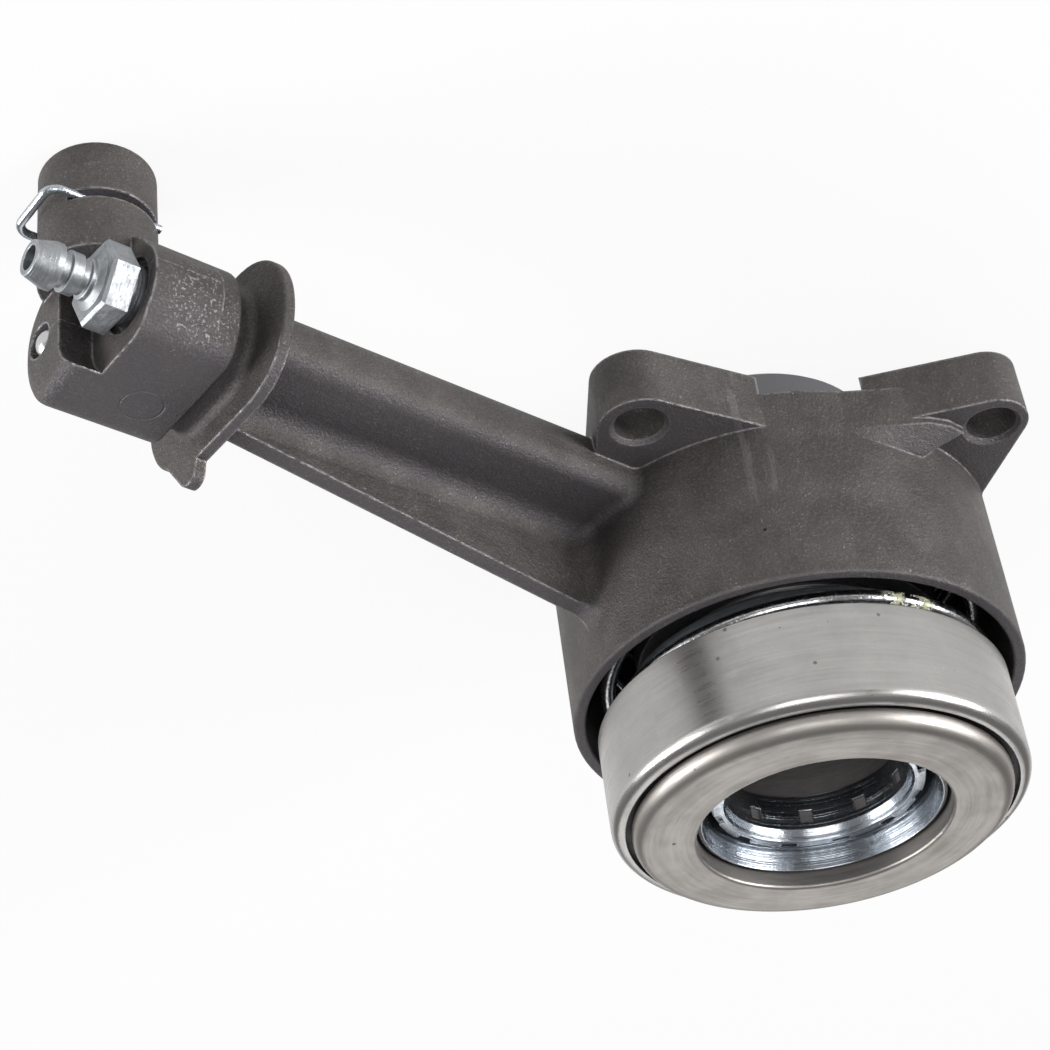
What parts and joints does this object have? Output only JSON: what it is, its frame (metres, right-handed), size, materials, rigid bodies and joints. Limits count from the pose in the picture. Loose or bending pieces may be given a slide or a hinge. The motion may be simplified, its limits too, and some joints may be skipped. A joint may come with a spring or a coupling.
{
  "type": "concentric clutch slave cylinder",
  "caption": "Concentric hydraulic clutch slave cylinder with release bearing, cast feed arm, quick-connect port and bleed screw.",
  "frame": {"origin": "on the bearing axis, in the mounting plane of the three ears", "axes": "+Z along the bearing axis towards the clutch, feed arm along -X, up when standing on the spigot and port ends"},
  "size_m": [0.16, 0.0881, 0.0671],
  "materials": {
    "cast": "dark grey-brown die-cast aluminium, as cast with fine grain",
    "steel_tube": "drawn steel, satin",
    "bright_zinc": "bright zinc plate",
    "rubber": "black sealing rubber",
    "seal_steel": "pressed steel, matt",
    "piston_metal": "machined aluminium",
    "nylon": "dark glass-filled plastic",
    "spring_steel": "polished spring steel with a little grease",
    "cup_steel": "pressed steel, darkened",
    "race_steel": "ground bearing steel",
    "shell_steel": "drawn steel shell, satin brushed",
    "thrust_steel": "rolled steel, warm satin grey",
    "screw_zinc": "turned steel, bright zinc plate"
  },
  "bodies": {
    "housing": {"housing": "cast", "gallery_plug_balls": "race_steel", "guide_tube": "steel_tube", "guide_tube_o_ring": "rubber", "stop_ring": "bright_zinc", "shaft_seal_case": "seal_steel", "shaft_seal_lip": "rubber", "shaft_seal_garter_spring": "spring_steel", "spring_seat": "cup_steel", "preload_spring": "spring_steel"},
    "release_carriage": {"piston": "piston_metal", "seal_support_ring": "nylon", "piston_lip_seal": "rubber", "spring_cup": "cup_steel", "bearing_carrier": "bright_zinc", "centring_disc_spring": "spring_steel", "bearing_outer_ring": "race_steel", "bearing_shell": "shell_steel", "bearing_front_seal": "rubber", "bearing_rear_seal": "rubber"},
    "ball_set": {"bearing_balls": "race_steel", "ball_cage": "nylon"},
    "thrust_ring": {"thrust_ring": "thrust_steel"},
    "retaining_clip": {"retaining_clip": "bright_zinc"},
    "bleed_screw": {"bleed_screw": "screw_zinc"}
  },
  "joints": [
    {"name": "release_slide", "type": "slide", "parent": "housing", "child": "release_carriage", "axis": [0, 0, 1], "range_m": [-0.01, 0], "stiffness_N_per_m": 2500, "springref_m": 0.02, "deforming": ["preload_spring"]},
    {"name": "thrust_spin", "type": "hinge", "parent": "release_carriage", "child": "thrust_ring", "pos_m": [0, 0, 0.05], "axis": [0, 0, 1], "continuous": true},
    {"name": "ball_set_spin", "type": "hinge", "parent": "release_carriage", "child": "ball_set", "pos_m": [0, 0, 0.0466], "axis": [0, 0, 1], "continuous": true},
    {"name": "clip_slide", "type": "slide", "parent": "housing", "child": "retaining_clip", "axis": [-1, 0, 0], "range_m": [0, 0.0045]},
    {"name": "bleed_turn", "type": "hinge", "parent": "housing", "child": "bleed_screw", "pos_m": [-0.115, 0.0065, 0.0126], "axis": [-1, 0, 0], "range_deg": [0, 360]}
  ],
  "couplings": [
    {"joint": "ball_set_spin", "follows": "thrust_spin", "ratio": 0.45}
  ]
}
